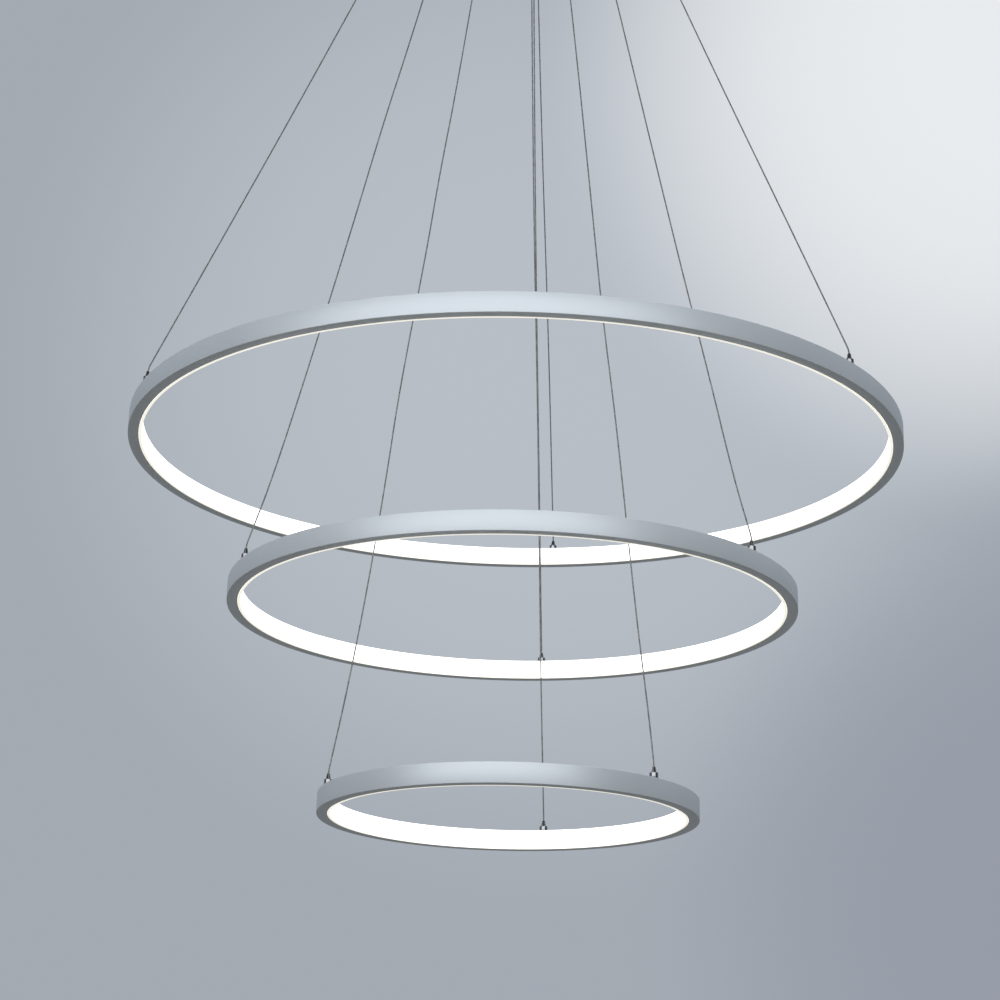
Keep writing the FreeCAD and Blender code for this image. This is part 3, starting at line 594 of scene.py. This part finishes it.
def knurled(bm, radius, steps, depth):  # every second line of the rim pushed in
    for vert in bm.verts:
        reach = vert.co.xy.length
        turn = round(math.atan2(vert.co.y, vert.co.x) / math.tau * steps)
        if abs(reach - radius * mm) < touch and turn % 2:
            vert.co.xy *= 1 - depth / radius
    return bm


def threaded(radius, low, high, pitch):  # the outline of a thread's crests and roots between two heights
    count = int((high - low) / pitch)
    points = []
    for k in range(count):
        points += [(radius, low + pitch * (k + 0.2)), (radius - pitch * 0.5, low + pitch * (k + 0.7))]
    return points


def hexNut(flats, hole, low, high, chamfer=0.2, steps=72):  # a chamfered ring with six flats cut on it
    corner = flats / 2 / math.cos(math.radians(30))
    face = flats / 2 - chamfer
    rise = (corner - face) * math.tan(math.radians(30))
    bm = turned([(hole, low), (face, low), (corner, low + rise), (corner, high - rise), (face, high),
                 (hole, high)], steps)
    for k in range(6):
        way = around(1, 60 * k, 0)
        cut = bmesh.ops.bisect_plane(bm, geom=bm.verts[:] + bm.edges[:] + bm.faces[:], plane_no=way,
                                     plane_co=way * flats / 2 * mm, clear_outer=True)["geom_cut"]
        bmesh.ops.edgeloop_fill(bm, edges=[edge for edge in cut if isinstance(edge, bmesh.types.BMEdge)])
    return bm


for tier, facts in tiers.items():
    for side in sides:
        name = "cable_" + tier + "_" + side
        path = lineOf(name + "Line", cableRoute(tier, side))
        length = sum((b - a).length for a, b in zip(path, path[1:]))
        bm = bmesh.new()
        bm.from_mesh(strandMesh(name, spaced(path, cable["step"] * mm)))
        piece = place(tier + side.capitalize() + "Cable", finished(bm, name), [name], sharp=60)
        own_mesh(piece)
        print("cable", tier, side, round(length, 4))


# butt is how far round from the first nipple the channel's two ends meet, in degrees
channel = {"steps": 360, "edge": 0.45, "lensEdge": 0.5, "gap": 0.2, "butt": 60}


def ringChannel(tier):
    facts = tiers[tier]
    outer, base = facts["radius"], -facts["drop"]
    inner, web, top = outer - section["width"], outer - section["wall"], base + section["height"]
    low, high = base + section["wall"], top - section["wall"]
    bm = turned([(inner, base), (outer, base), (outer, top), (inner, top), (inner, high), (web, high),
                 (web, low), (inner, low)], channel["steps"], channel["edge"],
                360 - math.degrees(channel["gap"] / outer), facts["turn"] + channel["butt"])
    place(tier + "Channel", finished(bm, tier + "Channel"), [tier + "_channel"])


def ringLens(tier):
    facts = tiers[tier]
    base = -facts["drop"]
    inner = facts["radius"] - section["width"]
    front, tip, top = inner - section["lens"], inner + section["leg"], base + section["height"]
    low, high = base + section["wall"] + section["play"], top - section["wall"] - section["play"]
    thick = section["legThick"]
    bm = turned([(front, base), (inner, base), (inner, low), (tip, low), (tip, low + thick),
                 (inner, low + thick), (inner, high - thick), (tip, high - thick), (tip, high),
                 (inner, high), (inner, top), (front, top)], channel["steps"], channel["lensEdge"])
    place(tier + "Lens", finished(bm, tier + "Lens"), [tier + "_diffuser"])


def ringNipples(tier):
    facts = tiers[tier]
    base = -facts["drop"]
    top = base + section["height"]
    head, foot = top + nipple["height"], base + nipple["stubFoot"]
    bm = turned([(nipple["bore"], foot), (nipple["stub"], foot), (nipple["stub"], top),
                 (nipple["radius"], top), (nipple["radius"], head), (nipple["foot"], head),
                 (nipple["tip"], head + nipple["neck"]), (nipple["bore"], head + nipple["neck"])],
                nipple["steps"], nipple["edge"])
    reach = facts["radius"] - nipple["inset"]
    spots = [at(*around(reach, facts["turn"] + turn, 0)) for turn in sides.values()]
    place(tier + "Nipples", finished(joined(bmesh.new(), bm, spots), tier + "Nipples"),
          [tier + "_cable_nipples"])


splice = {"inset": 4.6, "apart": 11, "shank": 1, "head": 1.9, "thick": 1.1, "dome": 0.5, "foot": 16.9,
          "cross": 0.95, "bar": 0.26, "depth": 0.6, "skew": 20}


def spliceScrews(tier):
    facts = tiers[tier]
    base = -facts["drop"]
    top = base + section["height"]
    high = top + splice["thick"]
    long, wide = splice["cross"], splice["bar"]
    bm = screwHead([(0, base + splice["foot"]), (splice["shank"], base + splice["foot"]),
                    (splice["shank"], top), (splice["head"], top), (splice["head"], high, splice["dome"]),
                    (0, high)], high, [(0, 0, long, wide), (0, 0, wide, long)], splice["depth"])
    reach = math.sqrt((facts["radius"] - splice["inset"]) ** 2 - splice["apart"] ** 2)
    butt = at(turn=facts["turn"] + channel["butt"])
    spots = [butt @ at(reach, s * splice["apart"], 0, s * splice["skew"]) for s in (-1, 1)]
    place(tier + "SpliceScrews", finished(joined(bmesh.new(), bm, spots), tier + "SpliceScrews"),
          [tier + "_splice_screws"])


for tier in tiers:
    ringChannel(tier)
    ringLens(tier)
    ringNipples(tier)
    spliceScrews(tier)
    print("ring", tier)


def canopyCup():
    radius, wall, foot = canopy["radius"], canopy["wall"], -canopy["height"]
    bm = turned([(0, foot), (radius, foot, canopy["edge"]), (radius, 0, canopy["rim"]),
                 (radius - wall, 0, canopy["rim"]), (radius - wall, foot + wall, canopy["edge"] - wall),
                 (0, foot + wall)], canopy["steps"], segments=canopy["segments"])
    place("canopyCup", finished(bm, "canopyCup"), ["canopy_cup"])


thumb = {"start": 102.5, "shank": 2, "tip": 0.4, "pitch": 0.7, "relief": 0.3, "seat": 110, "radius": 4.5,
         "end": 113.5, "under": 0.5, "edge": 0.6, "rim": 1.4, "slope": 1.8, "dish": 0.5,
         "knurls": 40, "knurlDepth": 0.22, "height": -10}


def thumbScrews():  # drawn upright from the thread's end, then laid along X
    shank, radius, under = thumb["shank"], thumb["radius"], thumb["under"]
    seat, end = thumb["seat"] - thumb["start"], thumb["end"] - thumb["start"]
    neck, floor = seat - thumb["pitch"], end - thumb["dish"]
    screw = threaded(shank, thumb["tip"] / 2, neck, thumb["pitch"])
    bm = turned([(0, 0), (shank - thumb["tip"], 0), *screw,
                 (shank - thumb["relief"], neck), (shank - thumb["relief"], seat), (radius - under, seat),
                 (radius, seat + under), (radius, end - thumb["edge"]), (radius - thumb["edge"], end),
                 (radius - thumb["rim"], end), (radius - thumb["slope"], floor), (0, floor)],
                2 * thumb["knurls"])
    knurled(bm, radius, 2 * thumb["knurls"], thumb["knurlDepth"])
    lying = at(thumb["start"], 0, thumb["height"], 90, "Y")
    place("thumbScrews", finished(joined(bmesh.new(), bm, [lying, at(turn=180) @ lying]), "thumbScrews"),
          ["canopy_side_screws"], sharp=25)


earth = {"x": 62, "radius": 2, "head": 4, "dome": 0.9, "low": -4.4, "seat": -2, "top": -0.05,
         "slot": 2.8, "bar": 0.45, "depth": 0.9}


def earthScrew():  # drawn head up, then turned over, because its head hangs under the strap
    radius, head = earth["radius"], earth["head"]
    end, under = earth["low"] - earth["top"], earth["low"] - earth["seat"]
    bm = screwHead([(0, end), (radius, end), (radius, under), (head, under), (head, 0, earth["dome"]),
                    (0, 0)], 0, [(0, 0, earth["slot"], earth["bar"])], earth["depth"])
    hung = joined(bmesh.new(), bm, [at(earth["x"], 0, earth["low"], 180, "X")])
    place("earthScrew", finished(hung, "earthScrew"), ["earth_screw"])


# heights are below the ceiling; rings and ribs are the grooves of the body and of the plunger's nozzle
gripper = {"stub": 4, "stubTop": -24.5, "stubEdge": 0.4, "relief": 0.2, "pitch": 0.75, "bodyEdge": 0.3,
           "rings": (-31.8, -33.0, -43.2), "groove": 0.3, "seam": 0.25, "room": 3.3, "roof": -33,
           "capBand": 0.7, "capFoot": -48, "capMouth": 3.6, "capEdge": 0.12, "spigot": -42,
           "spigotRadius": 3.25, "mouth": 2.25, "nutFlats": 11, "nutHole": 4.05, "nutFoot": -28.8,
           "nutTop": -25.8, "collar": 3.2, "collarTop": -40, "collarEdge": 0.2, "nozzle": 2.2,
           "nozzleEdge": 0.4, "nozzleSteps": 32, "ribs": (-49.0, -49.9, -50.8), "ribDeep": 0.25,
           "ribWide": 0.2}


def gripSpots():
    return [at(turn=gripTurn + turn) @ at(facts["circle"]) for facts in tiers.values()
            for turn in sides.values()]


def grooved(radius, heights, depth, wide=0.35):  # the outline of grooves, from the top one down
    points = []
    for z in heights:
        points += [(radius, z + wide), (radius - depth, z + wide / 2), (radius - depth, z - wide / 2),
                   (radius, z - wide)]
    return points


def gripperBodies():
    radius, seat, foot, bore = grip["radius"], grip["seat"], grip["foot"], grip["bore"]
    stub, top, edge = gripper["stub"], gripper["stubTop"], gripper["bodyEdge"]
    screw = threaded(stub, seat + gripper["stubEdge"], top, gripper["pitch"])
    bm = turned([(bore, top), (stub - gripper["stubEdge"], top), *screw[::-1],
                 (stub - gripper["relief"], seat), (radius - edge, seat), (radius, seat - edge),
                 *grooved(radius, gripper["rings"], gripper["groove"]),
                 (radius, foot + gripper["seam"]), (radius - gripper["seam"], foot),
                 (gripper["room"], foot), (gripper["room"], gripper["roof"]), (bore, gripper["roof"])],
                grip["steps"])
    place("gripperBodies", finished(joined(bmesh.new(), bm, gripSpots()), "gripperBodies"),
          ["gripper_bodies"], sharp=30)


def gripperCaps():
    radius, foot, seam = grip["radius"], grip["foot"], gripper["seam"]
    mouth, spigot, inner = gripper["mouth"], gripper["spigot"], gripper["spigotRadius"]
    bm = turned([(mouth, spigot), (inner, spigot), (inner, foot), (radius - seam, foot),
                 (radius, foot - seam), (radius, foot - gripper["capBand"]),
                 (gripper["capMouth"], gripper["capFoot"]), (mouth, gripper["capFoot"])],
                grip["steps"], gripper["capEdge"], segments=2)
    place("gripperCaps", finished(joined(bmesh.new(), bm, gripSpots()), "gripperCaps"),
          ["gripper_caps"], sharp=30)


def gripperNuts():
    nut = hexNut(gripper["nutFlats"], gripper["nutHole"], gripper["nutFoot"], gripper["nutTop"])
    place("gripperNuts", finished(joined(bmesh.new(), nut, gripSpots()), "gripperNuts"),
          ["gripper_lock_nuts"], sharp=25)


def plunger(tier, side):
    collar, top, lip = gripper["collar"], gripper["collarTop"], gripper["collarEdge"]
    nozzle, mouth, edge = gripper["nozzle"], grip["mouth"], gripper["nozzleEdge"]
    bm = turned([(grip["bore"], top), (collar - lip, top), (collar, top - lip),
                 (collar, gripper["spigot"]), (nozzle, gripper["spigot"]),
                 *grooved(nozzle, gripper["ribs"], gripper["ribDeep"], gripper["ribWide"]),
                 (nozzle, mouth + edge), (nozzle - edge, mouth), (grip["bore"], mouth)],
                gripper["nozzleSteps"])
    spot = at(turn=gripTurn + sides[side]) @ at(tiers[tier]["circle"])
    name = tier + side.capitalize() + "Plunger"
    place(name, finished(joined(bmesh.new(), bm, [spot]), name), ["plunger_" + tier + "_" + side], sharp=25)


canopyCup()
thumbScrews()
earthScrew()
gripperBodies()
gripperCaps()
gripperNuts()
for tier in tiers:
    for side in sides:
        plunger(tier, side)
print("canopy and grippers")


driver = {"x": -58, "y": -86, "length": 92, "width": 44, "floor": -28.8, "rim": -10.3, "top": -8.8,
          "wall": 1.5, "corner": 2.2, "port": 1.8, "portHeight": -17.8, "gland": 3.4, "glandLong": 1.6,
          "glandTaper": 0.4, "glandEdge": 0.2, "glandSteps": 40,
          "ribs": 9, "ribWide": 1.6, "ribOut": 0.7, "ribInset": 8, "ribShort": 2, "ribEdge": 0.35,
          "panelSide": 3.2, "panelEnd": 9.2, "panelDeep": 0.35, "lidEdge": 0.3, "play": 0.1,
          "rebateEdge": 0.2, "rebateCorner": 1.2,
          "vents": 9, "ventWide": 0.8, "ventLong": 7, "ventPitch": 4, "ventRow": 9, "ventDeep": 0.7}


def driverCase():
    x, y, length, width, wall = (driver[key] for key in ("x", "y", "length", "width", "wall"))
    floor, rim = driver["floor"], driver["rim"]
    bm = block((x, y, floor), (x + length, y + width, rim), 0, driver["corner"])
    top = max(bm.faces, key=lambda face: face.calc_center_median().z)
    bmesh.ops.inset_region(bm, faces=[top], thickness=wall * mm, use_even_offset=True)
    sink(bm, [top], (0, 0, (floor + wall - rim) * mm))
    inset, short = driver["ribInset"], driver["ribShort"]
    step = (length - 2 * inset) / (driver["ribs"] - 1)
    rib = block((-driver["ribWide"] / 2, -driver["ribOut"], floor + short),
                (driver["ribWide"] / 2, driver["ribOut"], rim - short), driver["ribEdge"])
    spots = [at(x + inset + step * k, side) for k in range(driver["ribs"]) for side in (y, y + width)]
    joined(bm, rib, spots)
    port, gland, out = driver["port"], driver["gland"], driver["glandLong"]
    sleeve = turned([(port, -wall / 2), (gland, -wall / 2), (gland - driver["glandTaper"], out), (port, out)],
                    driver["glandSteps"], driver["glandEdge"])
    joined(bm, sleeve, [at(x, y + width / 2, driver["portHeight"], -90, "Y"),
                        at(x + length, y + width / 2, driver["portHeight"], 90, "Y")])
    place("driverCase", finished(bm, "driverCase"), ["driver_case"])


def driverLid():
    x, y, length, width = (driver[key] for key in ("x", "y", "length", "width"))
    rim, top, inset = driver["rim"], driver["top"], driver["wall"] + driver["play"]
    bm = block((x, y, rim), (x + length, y + width, top), driver["lidEdge"], driver["corner"])
    acrossX, acrossY, pitch = x + length / 2, y + width / 2, driver["ventPitch"]
    panel = (acrossX, acrossY, length / 2 - driver["panelEnd"], width / 2 - driver["panelSide"])
    recessed(bm, top, driver["panelDeep"], [panel])
    first = acrossX - pitch * (driver["vents"] - 1) / 2
    halves = (driver["ventWide"] / 2, driver["ventLong"] / 2)
    vents = [(first + pitch * k, acrossY + s * driver["ventRow"], *halves)
             for k in range(driver["vents"]) for s in (-1, 1)]
    recessed(bm, top - driver["panelDeep"], driver["ventDeep"], vents)
    rebate = block((x + inset, y + inset, rim - driver["wall"]),
                   (x + length - inset, y + width - inset, rim), driver["rebateEdge"], driver["rebateCorner"])
    place("driverLid", finished(joined(bm, rebate), "driverLid"), ["driver_lid"])


# each block is the x and y of its corner and its number of poles
terminal = {"blocks": {"mains": (40, 18, 3), "output": (-86, 24, 6)}, "pitch": 9, "width": 14, "gap": 0.7,
            "floor": -28.8, "shelf": -20.8, "top": -16.8, "edge": 0.35, "port": 1.6, "portDeep": 4.5,
            "portInset": 1.4, "well": 2.2, "tower": 3.9, "towerFoot": 0.2, "towerEdge": 0.3, "steps": 36,
            "railInset": 2.5, "railEnd": 1, "railTop": -25.6, "railEdge": 0.3,
            "screw": 2.1, "screwTop": -18.3, "dome": 0.3, "slot": 1.7, "bar": 0.3, "depth": 0.9, "skew": 37.0}


def bored(bm, face, radius, depth, inset):  # a round hole in the middle of a four-sided face
    bmesh.ops.inset_region(bm, faces=[face], thickness=inset * mm)
    bmesh.ops.bisect_edges(bm, edges=face.edges[:], cuts=5)
    middle = face.calc_center_bounds()
    way = face.normal.copy()
    for vert in face.verts:
        vert.co = middle + (vert.co - middle).normalized() * radius * mm
    sink(bm, [face], -way * depth * mm)


def terminalBlock(kind):
    x, y, poles = terminal["blocks"][kind]
    pitch, width, floor, shelf = (terminal[key] for key in ("pitch", "width", "floor", "shelf"))
    half = (pitch - terminal["gap"]) / 2
    pole = block((-half, -width / 2, floor), (half, width / 2, shelf), terminal["edge"])
    for sign in (-1, 1):
        squares = [face for face in pole.faces if len(face.verts) == 4]
        face = max(squares, key=lambda square: sign * square.calc_center_median().y)
        bored(pole, face, terminal["port"], terminal["portDeep"], terminal["portInset"])
    well, radius, top, edge = (terminal[key] for key in ("well", "tower", "top", "towerEdge"))
    foot = shelf - terminal["towerFoot"]
    tower = turned([(well, foot), (radius, foot), (radius - edge, top), (well, top)], terminal["steps"], edge)
    spots = [at(x + pitch * (k + 0.5), y + width / 2) for k in range(poles)]
    bm = joined(joined(bmesh.new(), pole, spots), tower, spots)
    end, inset = terminal["railEnd"], terminal["railInset"]
    rail = block((x + end, y + inset, floor),
                 (x + pitch * poles - end, y + width - inset, terminal["railTop"]), terminal["railEdge"])
    joined(bm, rail)
    place(kind + "Terminals", finished(bm, kind + "Terminals"), [kind + "_terminal_block"])
    return spots


def terminalScrews(spots):
    radius, low, top = terminal["screw"], terminal["shelf"], terminal["screwTop"]
    bm = screwHead([(0, low), (radius, low), (radius, top, terminal["dome"]), (0, top)], top,
                   [(0, 0, terminal["slot"], terminal["bar"])], terminal["depth"])
    turns = [spot @ at(turn=terminal["skew"] * k) for k, spot in enumerate(spots)]
    place("terminalScrews", finished(joined(bmesh.new(), bm, turns), "terminalScrews"), ["terminal_screws"])


driverCase()
driverLid()
terminalScrews(terminalBlock("mains") + terminalBlock("output"))
print("driver and terminals")


# flags are dark screens on the camera's side, and turnover is where they give way to the backdrop
studio = {"backTone": (0.37, 0.405, 0.452), "flag": (0.10, 0.105, 0.115), "turnover": (-0.35, 0.45),
          "ambient": (0.21, 0.225, 0.245)}
# each patch is its place in the photograph's frame, its half width in degrees and its tone
patches = {
    "glow": (40, 135, 13.8, (0.475, 0.515, 0.565)),
    "glare": (520, 450, 11.8, (0.81, 0.835, 0.86)),
    "dusk": (620, -420, 12, (0.31, 0.335, 0.39)),
}
pixel = eye["focal"] / eye["sensor"] * 1000  # focal length in pixels of that frame
world = bpy.data.worlds.new("studio")
scene.world = world
air = Tree(world)
towards = air.node("ShaderNodeTexCoord", out=0)
rays = air.tree.nodes.new("ShaderNodeLightPath").outputs


def along(direction):
    return air.node("ShaderNodeVectorMath", {"operation": "DOT_PRODUCT"}, {0: towards, 1: direction}, out=1)


back = studio["backTone"]
for across, up, degrees, tone in patches.values():
    direction = (camera.matrix_world.to_3x3() @ Vector((across, up, -pixel))).normalized()
    near = air.spread(along(direction), math.cos(math.radians(degrees)), 1.0)
    back = air.blend(near, back, tone)
seen = air.maths("MAXIMUM", Knot(air, rays["Is Camera Ray"]), Knot(air, rays["Is Transmission Ray"]))
reflection = air.blend(air.spread(along((0, 1, 0)), *studio["turnover"]), studio["flag"], back)
tone = air.blend(Knot(air, rays["Is Glossy Ray"]), studio["ambient"], reflection)
sky = air.node("ShaderNodeBackground", None, {"Color": air.blend(seen, tone, back), "Strength": 1.0})
result = air.tree.nodes.new("ShaderNodeOutputWorld")
air.tree.links.new(sky.socket, result.inputs["Surface"])

# tone is what the floor throws back on the light, seen and lift what the camera sees near and far
ground = {"height": -2.9, "radius": 7.0, "steps": 96, "tone": (0.42, 0.405, 0.37), "seen": (0.76, 0.77, 0.78),
          "lift": (0.15, 0.17, 0.19), "fade": (1.6, 5.5), "cloud": 3.0, "cloudShade": 1.04,
          "rough": 0.9}
bm = bmesh.new()
bmesh.ops.create_circle(bm, cap_ends=True, segments=ground["steps"], radius=ground["radius"],
                        matrix=Matrix.Translation((0, 0, ground["height"])))
floor = bpy.data.objects.new("floor", finished(bm, "floor"))
scene.collection.objects.link(floor)
paint = Finish("floorPaint", Roughness=ground["rough"], Emission_Strength=1.0)
looked = Knot(paint, paint.tree.nodes.new("ShaderNodeLightPath").outputs["Is Camera Ray"])
far = paint.spread(paint.radius, *ground["fade"])  # it runs out into the backdrop
cloud = paint.noise(paint.place, ground["cloud"], 3.0)
near = paint.blend(cloud, ground["seen"], shade(ground["seen"], ground["cloudShade"]))
black = (0.0, 0.0, 0.0)
floor.data.materials.append(paint.done({
    "Base Color": paint.blend(looked, ground["tone"], paint.blend(far, near, black)),
    "Emission Color": paint.blend(looked, black, paint.blend(far, ground["lift"], studio["backTone"]))}))

lampAim = Vector((0, 0, -0.9))
lamps = {
    "key": {"place": (-0.5, -3.4, 0.1), "size": (7.6, 2.4), "watts": 146, "tint": (0.96, 0.98, 1.0)},
    "top": {"place": (0.2, 0.5, 1.4), "size": (2.6, 2.6), "watts": 34, "tint": (0.97, 0.99, 1.0)},
}
for name, lamp in lamps.items():
    data = bpy.data.lights.new(name, "AREA")
    data.shape = "RECTANGLE"
    data.size, data.size_y = lamp["size"]
    data.energy = lamp["watts"]
    data.color = lamp["tint"]
    light = bpy.data.objects.new(name, data)
    scene.collection.objects.link(light)
    turn = (lampAim - Vector(lamp["place"])).to_track_quat("-Z", "Y")
    light.matrix_world = Matrix.Translation(lamp["place"]) @ turn.to_matrix().to_4x4()
print("studio set")
